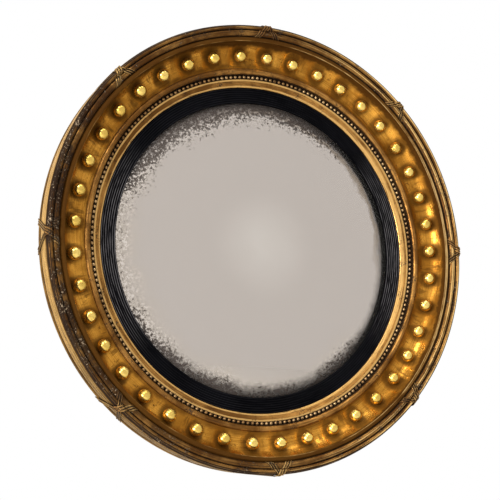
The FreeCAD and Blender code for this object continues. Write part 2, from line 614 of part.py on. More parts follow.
for way in ("-", ""):
    spin = f"{way}atan(ribbon_face_splay / {FACE_REACH})"
    legs.append(primitive(
        "Box", f"face_leg_{len(legs)}", f"{crossing} * placement(vector(0; 0; 0); rotation(vector(0; 1; 0); "
        f"{spin})) * placement(vector(-{FACE_LENGTH}; -cutter_front; -ribbon_width / 2); {LEVEL})",
        Length=f"{FACE_LENGTH} + ribbon_width / 2", Width="cutter_front + cutter_back",
        Height="ribbon_width"))
    spin = f"{way}atan(ribbon_side_splay / {SIDE_REACH})"
    legs.append(primitive(
        "Box", f"side_leg_{len(legs)}", f"{crossing} * placement(vector(0; 0; 0); rotation(vector(1; 0; 0); "
        f"{spin})) * placement(vector(-ribbon_root; -ribbon_width; -ribbon_width / 2); {LEVEL})",
        Length="ribbon_root + cutter_out", Width=f"{SIDE_LENGTH} + ribbon_width", Height="ribbon_width"))
crossed = group("MultiCommon", "ribbon_crossed", [band, group("MultiFuse", "ribbon_legs", legs)])
tie_piece = cut(crossed, reeded_ring, "ribbon_tie")

document.recompute()


def repeated(label, still, piece, count):
    """One node of a piece repeated evenly round the mirror's axis, with what stays still."""
    axis, origin = FreeCAD.Vector(0, -1, 0), FreeCAD.Vector(0, 0, 0)
    copies = [piece.Shape.rotated(origin, axis, turn * 360 / count) for turn in range(count)]
    ring = document.addObject("Part::Feature", f"{label}_all")
    ring.Shape = Part.makeCompound([solid.Shape for solid in still] + copies)
    return finished(ring, label)


# The pearls stand on the strip's face, and the ties are alike all round.
repeated("pearl_string", [strip], bead, int(sheet.get("pearl_count")))
repeated("ribbon_ties", [], tie_piece, int(sheet.get("tie_count")))

for piece in document.Objects:
    if "Invalid" in piece.State or "Error" in piece.State:
        raise RuntimeError(f"{piece.Label} failed to build: {piece.State}")
os.makedirs("parts", exist_ok=True)
for node in nodes:
    if node.Shape.isNull() or not node.Shape.isValid():
        raise RuntimeError(f"{node.Label} has no sound shape")
    node.Shape.exportStep(f"parts/{node.Label}.step")
print(len(nodes), "parts written")
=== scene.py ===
# %% [markdown]
# # A convex butler's mirror
#
# The real object is a domed mirror about 610 mm across.  Going outwards from the
# glass, it has a black reeded slip, a plain gilt moulding with a string of pearls, a
# deep gilt hollow that holds a ring of balls, and a rim of reeds tied with crossed
# ribbons.  The back is bare wood.
#
# The construction is already made and comes in as a frame of fixed nodes in metres,
# in one shared place: the mirror's axis is Y, the face looks along -Y, Z is up and
# the wall is the plane y = 0.  This script dresses that frame.  The turned mouldings
# are turned again here with finer curves, and everything gets a finish.

# %% Load the frame
import math

import bmesh
import bpy
from mathutils import Matrix, Vector


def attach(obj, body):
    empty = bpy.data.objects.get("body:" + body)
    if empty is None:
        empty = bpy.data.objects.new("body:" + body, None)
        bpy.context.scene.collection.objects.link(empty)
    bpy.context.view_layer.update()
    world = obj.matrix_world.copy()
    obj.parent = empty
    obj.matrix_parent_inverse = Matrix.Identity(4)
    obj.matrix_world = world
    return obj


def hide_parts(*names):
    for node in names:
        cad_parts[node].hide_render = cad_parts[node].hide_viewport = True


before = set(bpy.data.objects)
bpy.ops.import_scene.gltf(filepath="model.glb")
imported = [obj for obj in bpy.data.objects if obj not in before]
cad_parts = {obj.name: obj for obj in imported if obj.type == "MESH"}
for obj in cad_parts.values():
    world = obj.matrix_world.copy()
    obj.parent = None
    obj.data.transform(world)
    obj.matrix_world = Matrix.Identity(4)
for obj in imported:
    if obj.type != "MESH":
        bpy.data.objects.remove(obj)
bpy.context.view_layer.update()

# %% [markdown]
# ## Sums in a material
#
# A material is a net of nodes.  Wired by hand, a formula such as `1 - wear * 0.5`
# takes three nodes and five links, and nobody can read it afterwards.  Here one small
# class stands for an output socket, and + - * / on it add the Math nodes.  Every
# other node comes from one method that takes its type, its settings and its inputs.

# %% Sockets that do arithmetic
class Wire:
    """An output socket in a finish's node tree."""

    def __init__(self, finish, socket):
        self.finish, self.socket = finish, socket

    def _sum(self, operation, first, second):
        return self.finish.node("ShaderNodeMath", {"operation": operation},
                                {0: first, 1: second})

    def __add__(self, other):
        return self._sum("ADD", self, other)

    def __sub__(self, other):
        return self._sum("SUBTRACT", self, other)

    def __mul__(self, other):
        return self._sum("MULTIPLY", self, other)

    def __truediv__(self, other):
        return self._sum("DIVIDE", self, other)

    def __rsub__(self, other):
        return self._sum("SUBTRACT", other, self)

    def __neg__(self):
        return self._sum("MULTIPLY", self, -1)

    def __abs__(self):
        return maths("ABSOLUTE", self)

    __radd__ = __add__
    __rmul__ = __mul__


def maths(operation, value):
    """A function of one number, such as its SINE."""
    return value.finish.node("ShaderNodeMath", {"operation": operation}, {0: value})


def largest(first, *others):
    """The largest of some masks: where any of them shows, it shows."""
    for other in others:
        first = first.finish.node("ShaderNodeMath", {"operation": "MAXIMUM"},
                                  {0: first, 1: other})
    return first


print("sums ready")

# %% Finishes
class Finish:
    """A material, or a world, whose nodes are added one by one."""

    def __init__(self, name, kind="materials", shader="Principled BSDF"):
        self.material = getattr(bpy.data, kind).new(name)
        self.material.use_nodes = True
        self.tree = self.material.node_tree
        self.shader = self.tree.nodes[shader]

    def node(self, kind, settings=None, inputs=None, output=0):
        """Add a node: its settings first, then the value or the link of each input."""
        made = self.tree.nodes.new(kind)
        for name, value in (settings or {}).items():
            setattr(made, name, value)
        for name, value in (inputs or {}).items():
            self.feed(made.inputs[name], value)
        if isinstance(output, tuple):
            return [Wire(self, made.outputs[part]) for part in output]
        return Wire(self, made.outputs[output])

    def feed(self, socket, value):
        """Link a wire to a socket, or write a number or a colour on it."""
        if isinstance(value, Wire):
            self.tree.links.new(value.socket, socket)
        elif isinstance(value, (int, float)):
            socket.default_value = value
        else:
            fits = len(socket.default_value)
            socket.default_value = (*value, 1)[:fits]

    def wear(self, **inputs):
        """Feed the shader's own sockets, named with _ for a space."""
        for name, value in inputs.items():
            self.feed(self.shader.inputs[name.replace("_", " ")], value)
        return self.material


print("finishes ready")

# %% [markdown]
# ## Marks that a finish is made of
#
# Old gilding isn't one colour.  It has clouds where the leaf is thicker, scratches
# along the turning, specks where the leaf has come off, and dirt in the grooves.
# Each is a mask from 0 to 1, made from noise on Object coordinates.  A turned piece
# also needs its radius, depth and angle, which are worked out from the same
# coordinates, so that a mark can follow the moulding.

# %% Masks
def place_of(finish):
    """Where a point is on the object, in metres."""
    return finish.node("ShaderNodeTexCoord", output="Object")


def noise(finish, scale, detail=3.0, roughness=0.55, place=None):
    """Soft noise from 0 to 1."""
    where = place_of(finish) if place is None else place
    return finish.node("ShaderNodeTexNoise", {}, {
        "Vector": where, "Scale": scale, "Detail": detail, "Roughness": roughness})


def step(value, low, high, start=0.0, end=1.0):
    """A soft step: start at low and before, end at high and beyond."""
    return value.finish.node(
        "ShaderNodeMapRange", {"interpolation_type": "SMOOTHSTEP", "clamp": True},
        {"Value": value, "From Min": low, "From Max": high, "To Min": start, "To Max": end})


def blend(first, second, share):
    """One colour changed to another by a share."""
    return share.finish.node("ShaderNodeMix", {"data_type": "RGBA", "clamp_factor": True},
                             {0: share, 6: first, 7: second}, output=2)


def bump(height, distance, under=None):
    """Height in shares of a distance in metres, as a normal."""
    inputs = {"Height": height, "Distance": distance}
    if under is not None:
        inputs["Normal"] = under
    return height.finish.node("ShaderNodeBump", {}, inputs)


def mark_of(finish, word):
    """A mark that is kept on the mesh, from 0 to 1."""
    return finish.node("ShaderNodeAttribute", {"attribute_name": word}, output="Fac")


print("masks ready")

# %% Places on a turned piece
def round_axis(finish):
    """Radius and depth in metres and the angle in radians, about the mirror's axis."""
    x, y, z = finish.node("ShaderNodeSeparateXYZ", {}, {"Vector": place_of(finish)},
                          output=("X", "Y", "Z"))
    radius = maths("SQRT", x * x + z * z)
    angle = finish.node("ShaderNodeMath", {"operation": "ARCTAN2"}, {0: z, 1: x})
    return radius, -y, angle, (x, z)


def along_turning(radius, depth, sides, stretch, fine):
    """A place that changes slowly round the axis and fast across the moulding."""
    x, z = sides
    return radius.finish.node("ShaderNodeCombineXYZ", {}, {
        "X": x / radius * stretch + radius * fine,
        "Y": depth * fine,
        "Z": z / radius * stretch - radius * fine})


def off_middle(turns):
    """How far a point is from the middle of its own part of a row, from -0.5 to 0.5."""
    return maths("FRACT", turns) - 0.5


print("places ready")

# %% [markdown]
# ## Turned mouldings
#
# On a lathe, the turner cuts one outline and the wood goes round.  Blender has the
# same idea in its spin operator: draw the outline as a line of edges, then spin it
# all the way round the axis.  The outline's own arcs are spins too, of one point
# about the arc's centre.  A Screw modifier would also do, but spin leaves a plain
# mesh to which marks can be added.
#
# A corner is (radius, depth) in millimetres, or (radius, depth, crown) where an arc
# begins that stands out of the wood by that crown.

# %% Outlines
MM = 0.001
FULL_TURN = 2 * math.pi
TURNING_AXIS = (0, 1, 0)
STEPS_ROUND = 200
TOUCHING = 1e-6


def outline(mesh, corners, fineness, closed=True):
    """Draw an outline, with a point every fineness millimetres of an arc.

    A straight part has one every four times that, so that marks fade over it.
    """
    points = [Vector((corner[0], -corner[1], 0)) * MM for corner in corners]
    last = mesh.verts.new(points[0])
    for index, corner in enumerate(corners):
        start, end = points[index], points[(index + 1) % len(corners)]
        if len(corner) == 3:
            chord, crown = (end - start).length, corner[2] * MM
            radius = (chord ** 2 / 4 + crown ** 2) / (2 * abs(crown))
            out = Vector((end.y - start.y, start.x - end.x, 0)).normalized()
            out = out * math.copysign(1, crown)
            centre = (start + end) / 2 - out * (radius - abs(crown))
            sweep = math.copysign(4 * math.atan2(2 * abs(crown), chord), crown)
            steps = max(4, round(radius * abs(sweep) / MM / fineness))
            made = bmesh.ops.spin(mesh, geom=[last], cent=centre, axis=(0, 0, 1), angle=sweep,
                                  steps=steps, use_merge=False, use_duplicate=False)
            last = next(part for part in made["geom_last"]
                        if isinstance(part, bmesh.types.BMVert))
        elif closed or index + 1 < len(corners):
            steps = max(1, round((end - start).length / MM / fineness / 4))
            for step_on in range(1, steps + 1):
                vert = mesh.verts.new(start.lerp(end, step_on / steps))
                mesh.edges.new((last, vert))
                last = vert
    bmesh.ops.remove_doubles(mesh, verts=mesh.verts[:], dist=TOUCHING)


print("outlines ready")

# %% Turning
def everything(mesh):
    """All points, edges and faces, as the operators want them."""
    return mesh.verts[:] + mesh.edges[:] + mesh.faces[:]


def finish_mesh(name, mesh, crease=32.0):
    """Close the mesh, turn its faces outwards and make an object of it."""
    bmesh.ops.remove_doubles(mesh, verts=mesh.verts[:], dist=TOUCHING)
    loose = [edge for edge in mesh.edges if not edge.link_faces]
    bmesh.ops.delete(mesh, geom=loose, context="EDGES")
    bmesh.ops.recalc_face_normals(mesh, faces=mesh.faces[:])
    data = bpy.data.meshes.new(name)
    mesh.to_mesh(data)
    mesh.free()
    for face in data.polygons:
        face.use_smooth = True
    data.set_sharp_from_angle(angle=math.radians(crease))
    made = bpy.data.objects.new(name, data)
    bpy.context.scene.collection.objects.link(made)
    print(name, len(data.polygons), "faces")
    return made


def turn(name, corners, fineness=0.8):
    """A closed ring turned from an outline."""
    mesh = bmesh.new()
    outline(mesh, corners, fineness)
    bmesh.ops.spin(mesh, geom=everything(mesh), cent=(0, 0, 0), axis=TURNING_AXIS,
                   angle=FULL_TURN, steps=STEPS_ROUND, use_merge=True, use_duplicate=False)
    return finish_mesh(name, mesh)


def repeat_round(mesh, count):
    """Repeat everything in the mesh until there are count of it, evenly round the axis."""
    bmesh.ops.spin(mesh, geom=everything(mesh), cent=(0, 0, 0), axis=TURNING_AXIS,
                   angle=-FULL_TURN * (count - 1) / count, steps=count - 1,
                   use_merge=False, use_duplicate=True)


def dress(piece, material, nodes):
    """Give a piece its finish, its body and the nodes that it stands for."""
    piece.data.materials.append(material)
    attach(piece, "frame")
    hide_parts(*nodes)
    print(piece.name, "stands for", nodes[0] if len(nodes) == 1 else f"{len(nodes)} nodes")


print("turning ready")

# %% [markdown]
# ## Marks on a mesh
#
# Some dirt, wear and painted light belong to a place on the moulding: dirt and painted
# shade in a groove, polish and a painted highlight on a crest.  Blender can keep a
# number at every point of a mesh, as an attribute, and a material can read it.  It
# could be painted by hand.  Here it is worked out from how near a point is to some
# spots of the outline, so it follows the moulding all round.

# %% Marks near an outline's spots
def mark_near(piece, word, spots, reach, fade=0.0, strongest=0.0):
    """Store how near each point is to an outline's spots: 1 there, 0 from reach on.

    fade weakens the mark away from the angle, in degrees, where it's strongest.  A
    second call adds to a mark.
    """
    facing = Vector((math.cos(math.radians(strongest)), 0, math.sin(math.radians(strongest))))
    mark = piece.data.attributes.get(word) or piece.data.attributes.new(word, "FLOAT", "POINT")
    values = [0.0] * len(piece.data.vertices)
    mark.data.foreach_get("value", values)
    for vert in piece.data.vertices:
        ring, depth = math.hypot(vert.co.x, vert.co.z), -vert.co.y / MM
        away = min(math.hypot(ring / MM - spot[0], depth - spot[1]) for spot in spots)
        if away < reach:
            weaker = fade * (1 - vert.co.dot(facing) / ring) / 2
            values[vert.index] = max(values[vert.index], (1 - away / reach) * (1 - weaker))
    mark.data.foreach_set("value", values)


print("marks ready")

# %% [markdown]
# ## Gilding
#
# Water gilding is gold leaf over a red-brown clay, on gesso.  The leaf is rubbed
# through on the high places, and dirt and old shellac gather in the low ones.  The low
# places also get painted shade, and the crests a painted highlight.  It could be a
# metal with one colour, but then a whole frame looks like brass.  Here the leaf is a
# metal with clouds in it, the clay and the dark of dirt and shade are not metal and are
# duller, and masks decide which one shows.

# %% A gilding recipe
CLAY = (0.075, 0.030, 0.012)
GESSO = (0.42, 0.31, 0.20)
SOOT_AND_SHADE = (0.010, 0.006, 0.005)
WARM_SHEEN = (1.0, 0.78, 0.45)
FAINT_SHEEN = 0.08


def gild(name, leaf, deep, dirt, extra_dirt_and_shade, low, rubbed, gloss, dents=1.0, groove=None,
         crest=None, crest_tone=None, chips=0.0, metal=0.8):
    """Gold leaf in two tones over clay and gesso, with dirt and painted shade.

    low is how much dirt lies everywhere, rubbed how much clay shows, chips how much
    gesso, gloss the leaf's roughness, dents how uneven the gesso is and metal how
    much of a metal the leaf is.  groove names a mark that gathers dirt and painted
    shade, crest one that is rubbed clean and brightened to crest_tone as a painted
    highlight, and extra_dirt_and_shade makes one more mask of dirt, with painted shade for some
    pieces.
    """
    finish = Finish(name)
    radius, depth, angle, sides = round_axis(finish)
    clouds = noise(finish, 24, 4)
    patches = noise(finish, 7, 3)
    specks = noise(finish, 480, 5, 0.65)
    turning = noise(finish, 1, 4, 0.6, along_turning(radius, depth, sides, 9, 520))
    grime = noise(finish, 60, 6, 0.62)

    tone = blend(leaf, deep, step(clouds * 0.6 + patches * 0.4, 0.42, 0.58))
    tone = blend(tone, deep, step(turning, 0.52, 0.38) * 0.8)
    rub = step(specks * 0.35 + grime * 0.35 + turning * 0.3,
               0.60 - 0.10 * rubbed, 0.66 - 0.08 * rubbed)
    dirt_and_shade = step(grime * 0.7 + specks * 0.3, 0.62 - low * 0.22, 0.74 - low * 0.18)
    dirt_and_shade = largest(dirt_and_shade, step(turning, 0.56, 0.66) * low * 1.6)
    # Near the groove mark the leaf darkens with dirt and painted shade.
    if groove:
        near = mark_of(finish, groove)
        dirt_and_shade = largest(dirt_and_shade, step(near + (grime - 0.5) * 0.6, 0.16, 0.50))
    # The piece's extra mask adds dirt, and for some pieces painted shade and shadow.
    extra = extra_dirt_and_shade(finish, radius, depth, angle, grime * 0.4 + turning * 0.6)
    dirt_and_shade = largest(dirt_and_shade, extra)
    # On the crest mark the dirt is rubbed away and the leaf brightened to the crest tone: polish
    # and a painted highlight.
    if crest:
        near = mark_of(finish, crest)
        polish_and_highlight = step(near - (turning - 0.5) * 1.2 + (grime - 0.5) * 0.5, 0.35, 0.85)
        dirt_and_shade = dirt_and_shade * (1 - polish_and_highlight * 0.8)
        tone = blend(tone, crest_tone, polish_and_highlight * 0.95)
    tone = blend(tone, CLAY, rub * 0.85)
    tone = blend(tone, dirt, dirt_and_shade * 0.95)
    chip = step(specks * 0.6 + grime * 0.4 + extra * 0.045, 0.61, 0.67) * chips
    tone = blend(tone, GESSO, chip)

    rough = step(clouds, 0.3, 0.7, gloss, gloss + 0.12) + rub * 0.2 + dirt_and_shade * 0.3
    metallic = (1 - largest(dirt_and_shade * 0.9, chip)) * (1 - rub * 0.6) * metal
    dented = bump(noise(finish, 34, 2), 0.0010 * dents)
    worked = bump(turning * 0.6 + grime * 0.4, 0.00028 * dents, dented)
    chipped = bump(1 - largest(rub, dirt_and_shade * 0.6), 0.00018, worked)
    return finish.wear(Base_Color=tone, Roughness=rough, Metallic=metallic, Normal=chipped,
                       Specular_IOR_Level=FAINT_SHEEN, Specular_Tint=WARM_SHEEN)


print("gilding ready")

# %% [markdown]
# ## The reeded rim
#
# Three reeds show from the front: a broad one, a thin one, and a great one that
# rolls over the shoulder and down the side.  A last small reed lies at the foot.  The
# outline is the turner's template.  The grooves between the reeds are marked, so that
# the dirt and a painted shade know where to gather, and so are the crests that hands
# and dusters polish, which also carry a painted highlight.

# %% Reeded rim
RIM_BACK = 25.0
BROAD_REED = (288.63, 66.5)
THIN_REED = (297.93, 69.4)
SHOULDER = (303.23, 70.2)
SIDE_TOP = (305.03, 65.0)
SIDE_FOOT = (305.03, 40.4)
QUIRK = (303.43, 39.1)
FOOT_REED = (304.68, 37.8)
FOOT = (304.13, RIM_BACK)
reeds = turn("gilt_reeds", [
    (*BROAD_REED, 3.9), (*THIN_REED, 4.2), (*SHOULDER, 0.8), (*SIDE_TOP, 0.35),
    SIDE_FOOT, QUIRK, (*FOOT_REED, 1.4), FOOT, (BROAD_REED[0], RIM_BACK),
], fineness=0.6)

# %% Marks on the reeds
HAIRLINES = [(293.4, 72.6), (301.7, 73.6), (305.2, 60.5), (305.2, 52.0)]
SIDE_CRESTS = [(305.3, SIDE_FOOT[1] + 2.6 * line) for line in range(10)]
SHOULDER_CREST = (304.6, 67.5)
THIN_CREST = (300.0, 74.0)
BROAD_CRESTS = [(292.1, 71.7), (294.6, 72.4)]
# Dirt and painted shade gather at the groove marks.
mark_near(reeds, "groove", [BROAD_REED, THIN_REED, SHOULDER, QUIRK], reach=4.0)
mark_near(reeds, "groove", HAIRLINES, reach=1.2)
# The crest marks get polish and a painted highlight: the side's lines strongest at the left, the
# front's crests at the right.
mark_near(reeds, "crest", SIDE_CRESTS, reach=2.3, fade=2.0, strongest=165)
mark_near(reeds, "crest", [SHOULDER_CREST], reach=1.9, fade=0.7)
mark_near(reeds, "crest", [THIN_CREST], reach=2.1, fade=0.95)
mark_near(reeds, "crest", BROAD_CRESTS, reach=2.2, fade=1.2)
print("reeds marked:", len(SIDE_CRESTS), "lines of polish on the side")

# %% Finish of the reeds
def worn_left(finish, radius, depth, angle, streaks):
    """Black bare patches on the left of the rim, where it has been handled."""
    scatter = noise(finish, 30, 5, 0.7) * 0.45 + streaks * 0.55
    far_left = step(abs(angle), 2.20, 2.70)
    low_left = step(abs(angle + 2.36), 0.35, 0.1)
    inner = step(radius, 0.3045, 0.3030)
    return step(scatter, 0.42, 0.52) * largest(far_left, low_left * 0.7) * inner * 0.95


reed_gilding = gild("reed_gilding", (0.27, 0.135, 0.036), (0.080, 0.032, 0.008), SOOT_AND_SHADE, worn_left,
                    low=0.45, rubbed=0.8, gloss=0.26, groove="groove", crest="crest",
                    crest_tone=(0.90, 0.56, 0.20), chips=0.8)
dress(reeds, reed_gilding, ["reeded_ring"])

# %% [markdown]
# ## The hollow
#
# The deep cavetto between the reeds and the sight moulding is burnished until it
# mirrors the balls.  Nobody can burnish close to a ball, so the leaf stays dull and
# dirty there, and a painted shadow lies on each ball's side towards the rim.  That
# needs no texture: the angle of a point says which ball is nearest, and its distance
# from that ball gives the smudge.  The steep outer wall, more at the top, and the inner
# part, more at the top and bottom, are darkened with painted shade.

# %% Hollow
JOINT = (251.03, 43.16)
LIP = (281.83, 68.5)
LIP_EDGE = (286.43, 68.9)
HOLLOW_SAG = -12.71
UNDER_REED = (288.6, 69.5)
LIP_CREST = (282.1, 68.7)
LIP_FLAT = (284.3, 69.0)
hollow = turn("gilt_hollow", [
    (*JOINT, HOLLOW_SAG), (*LIP, 0.3), LIP_EDGE, BROAD_REED, (BROAD_REED[0], RIM_BACK),
    (JOINT[0], RIM_BACK),
], fineness=1.0)
# Dirt and painted shade gather at the groove marks; the lip's crest marks get polish and a painted
# highlight, strongest at the right.
mark_near(hollow, "groove", [BROAD_REED, UNDER_REED], reach=2.6)
mark_near(hollow, "crest", [LIP_CREST], reach=1.4, fade=0.5)
mark_near(hollow, "crest", [LIP_FLAT], reach=2.4, fade=3.0)

# %% Places in the hollow
BALL_CIRCLE = 266.0
BALL_DEPTH = 50.11
BALL_RADIUS = 8.75
BALL_COUNT = 41
BALL_PHASE = -2.0
BALL_PITCH = FULL_TURN / BALL_COUNT
JOINT_COUNT = 12
JOINT_PHASE = 6.25


def nearest_ball(radius, angle):
    """How far a point is from the nearest ball's middle: along the ring and across it."""
    part = off_middle((angle - math.radians(BALL_PHASE)) / BALL_PITCH + BALL_COUNT + 0.5)
    return part * BALL_PITCH * BALL_CIRCLE * MM, radius - BALL_CIRCLE * MM


def segment_joint(angle, width, wander):
    """A hairline where two of the twelve glued segments of a ring meet."""
    turns = (angle + math.radians(JOINT_PHASE)) / FULL_TURN * JOINT_COUNT
    return step(abs(off_middle(turns + JOINT_COUNT + 0.5 + wander)), width, width * 0.3)


print(BALL_COUNT, "balls, one every", round(BALL_PITCH * BALL_CIRCLE, 1), "mm")

# %% Finish of the hollow
def hollow_dirt_and_shadows(finish, radius, depth, angle, streaks):
    """Dirt round the balls with a painted shadow on their rim side, painted shade up the steep
    wall and on the inner part, in strokes across the hollow.
    """
    along, across = nearest_ball(radius, angle)
    # The smudge is centred 3 mm towards the rim: a painted shadow on that side of each ball, with
    # dirt.
    outward = across - 0.003
    away = maths("SQRT", along * along + outward * outward * 0.4)
    strokes = noise(finish, 1, 3, 0.6, finish.node("ShaderNodeCombineXYZ", {}, {
        "X": angle * 34, "Y": (radius + depth) * 26, "Z": 0.5}))
    cloudy = noise(finish, 26, 4) * 0.5 + strokes * 0.5
    wander = (cloudy - 0.5) * 0.022
    near = step(away + wander, 0.0165, 0.0080)
    # Painted shade up the steep outer wall, more at the top.
    steep = step(depth + wander + maths("SINE", angle) * 0.0035, 0.0520, 0.0600)
    lip = step(depth, 0.0676, 0.0682) * step(streaks, 0.34, 0.56, 0.40, 1.0)
    # Painted shade on the inner part, less at the left and right.
    sideways = abs(maths("COSINE", angle))
    inner = step(radius + (cloudy - 0.5) * 0.010 + sideways * 0.005, 0.2620, 0.2550)
    crack = segment_joint(angle, 0.0024, (noise(finish, 40, 2) - 0.5) * 0.02)
    crack = crack * step(cloudy, 0.35, 0.6)
    stroke = step(strokes, 0.52, 0.66)
    return largest(near * 0.8, steep, crack * 0.7, lip * 0.85, inner * 0.6, stroke * 0.6)


hollow_gilding = gild("burnished_hollow", (0.66, 0.31, 0.044), (0.33, 0.135, 0.015),
                      (0.050, 0.018, 0.003), hollow_dirt_and_shadows, low=0.15, rubbed=0.3, gloss=0.2,
                      dents=1.3, groove="groove", crest="crest", crest_tone=(0.74, 0.50, 0.21))
dress(hollow, hollow_gilding, ["hollow_ring"])

# %% [markdown]
# ## The balls
#
# Forty-one turned balls stand on pegs in the hollow.  One ball with its peg is made
# in its place, and spin repeats it round the axis.  Instances would share one mesh,
# but every other piece has its place in its mesh, and about six hundred faces each is
# little enough to make them all.

# %% Balls
BALL_TILT = 23.0
PEG_RADIUS = 2.0
PEG_REACH = 15.0
balls = bmesh.new()
lean = (Matrix.Rotation(math.radians(-BALL_TILT), 4, "Z")
        @ Matrix.Rotation(math.radians(-90), 4, "X"))
first = (Matrix.Rotation(math.radians(-BALL_PHASE), 4, "Y")
         @ Matrix.Translation(Vector((BALL_CIRCLE, -BALL_DEPTH, 0)) * MM) @ lean)
bmesh.ops.create_uvsphere(balls, u_segments=32, v_segments=18, radius=BALL_RADIUS * MM,
                          matrix=first)
bmesh.ops.create_cone(balls, cap_ends=True, segments=12, radius1=PEG_RADIUS * MM,
                      radius2=PEG_RADIUS * MM, depth=PEG_REACH * MM,
                      matrix=first @ Matrix.Translation((0, 0, PEG_REACH / 2 * MM)))
repeat_round(balls, BALL_COUNT)
balls = finish_mesh("gilt_balls", balls)

# %% Finish of the balls
def ball_foot_dirt_and_shade(finish, radius, depth, angle, streaks):
    """Dirt and painted shade where a ball meets the hollow."""
    across = radius - BALL_CIRCLE * MM
    out = depth - BALL_DEPTH * MM
    tilt = math.radians(BALL_TILT)
    leaning = out * math.cos(tilt) - across * math.sin(tilt)
    return step(leaning + (streaks - 0.5) * 0.004, -0.0025, -0.0060)


ball_gilding = gild("burnished_balls", (0.84, 0.60, 0.17), (0.62, 0.40, 0.08), (0.05, 0.02, 0.004),
                    ball_foot_dirt_and_shade, low=0.0, rubbed=0.15, gloss=0.17, dents=0.6, metal=0.95)
dress(balls, ball_gilding, [f"ball_{i + 1:02d}" for i in range(BALL_COUNT)])

# %% [markdown]
# ## The sight moulding and its pearls
#
# Inside the hollow comes a bead, then a channel with the pearls, a small fillet and a
# slope that ends in a rounded nose over the slip.  The pearls are pressed in one
# string, so they are one piece.  There are over two hundred, so each has only a few
# dozen faces, and the foot that its strip hides is cut off.

# %% Sight moulding
EDGE = (227.13, 30.7)
EDGE_FOOT = (227.13, 29.5)
NOSE = (228.53, 32.2)
SLOPE_TOP = (235.83, 36.6)
FILLET = (237.23, 36.6)
FLOOR_IN = (237.23, 35.3)
FLOOR_OUT = (242.83, 35.3)
BEAD_FOOT = (242.83, 40.46)
REBATE = 233.93
CHANNEL_MIDDLE = (240.0, 35.3)
NOSE_FRONT = (227.4, 31.5)
SLOPE_CRESTS = [(230.7, 33.5), (232.9, 34.8)]
sight = turn("gilt_sight", [
    EDGE_FOOT, (*EDGE, 0.35), NOSE, SLOPE_TOP, FILLET, FLOOR_IN, FLOOR_OUT, (*BEAD_FOOT, 3.6),
    JOINT, (JOINT[0], RIM_BACK), (REBATE, RIM_BACK), (REBATE, EDGE_FOOT[1]),
], fineness=0.5)
# Dirt and painted shade gather at the groove marks; the crest marks get polish and a painted
# highlight, on the slope strongest at the right.
mark_near(sight, "groove", [FLOOR_IN, FLOOR_OUT, BEAD_FOOT, CHANNEL_MIDDLE], reach=3.2)
mark_near(sight, "crest", [NOSE, NOSE_FRONT, SLOPE_TOP, FILLET], reach=1.5)
mark_near(sight, "crest", SLOPE_CRESTS, reach=2.0, fade=2.0)

# %% Finish of the sight moulding
def sight_cracks(finish, radius, depth, angle, streaks):
    """Hairlines across the ring, and one line of dirt behind the nose."""
    crack = segment_joint(angle, 0.0026, (noise(finish, 60, 2) - 0.5) * 0.03)
    line = step(abs(radius - NOSE[0] * MM), 0.0006, 0.0001)
    return largest(crack * 0.8, line * 0.5)


sight_gilding = gild("matt_sight_gilding", (0.41, 0.200, 0.050), (0.13, 0.054, 0.012), SOOT_AND_SHADE,
                     sight_cracks, low=0.35, rubbed=0.6, gloss=0.28, groove="groove",
                     crest="crest", crest_tone=(0.68, 0.40, 0.13), chips=0.3)
dress(sight, sight_gilding, ["sight_ring"])

# %% Pearls
PEARL_COUNT = 221
PEARL_CIRCLE = 240.03
PEARL_RADIUS = 2.4
PEARL_DEPTH = 37.7
STRIP_FACE = 35.9
STRIP_IN = 237.43
STRIP_OUT = 242.63
pearls = bmesh.new()
bmesh.ops.create_icosphere(
    pearls, subdivisions=2, radius=PEARL_RADIUS * MM,
    matrix=Matrix.Translation(Vector((PEARL_CIRCLE, -PEARL_DEPTH, 0)) * MM))
bmesh.ops.bisect_plane(pearls, geom=everything(pearls), dist=1e-7, clear_outer=True,
                       plane_co=(0, -STRIP_FACE * MM, 0), plane_no=(0, 1, 0))
repeat_round(pearls, PEARL_COUNT)
pearls = finish_mesh("pearls", pearls, crease=60)
pearl_strip = turn("pearl_strip", [(STRIP_IN, STRIP_FACE), (STRIP_OUT, STRIP_FACE),
                                   (STRIP_OUT, FLOOR_OUT[1]), (STRIP_IN, FLOOR_IN[1])])

# %% Finish of the pearls
def pearl_dirt_and_shade(finish, radius, depth, angle, streaks):
    """Dirt and painted shade between the pearls, deeper than their crowns."""
    return step(depth + (streaks - 0.5) * 0.004, 0.0394, 0.0376)


pearl_gilding = gild("pearl_gilding", (0.50, 0.33, 0.16), (0.24, 0.13, 0.05), SOOT_AND_SHADE,
                     pearl_dirt_and_shade, low=0.3, rubbed=0.7, gloss=0.22, dents=0.2)
dress(pearls, pearl_gilding, ["pearl_string"])
dress(pearl_strip, pearl_gilding, ["pearl_string"])

# %% [markdown]
# ## The ebonised slip
#
# The black ring next to the glass is pearwood stained and polished, with seven fine
# reeds.  Black shows only its gloss, so the reeds have to be real shapes: a bump
# would not give the row of thin highlights.
# At the left and right the crests also get a painted grey highlight.

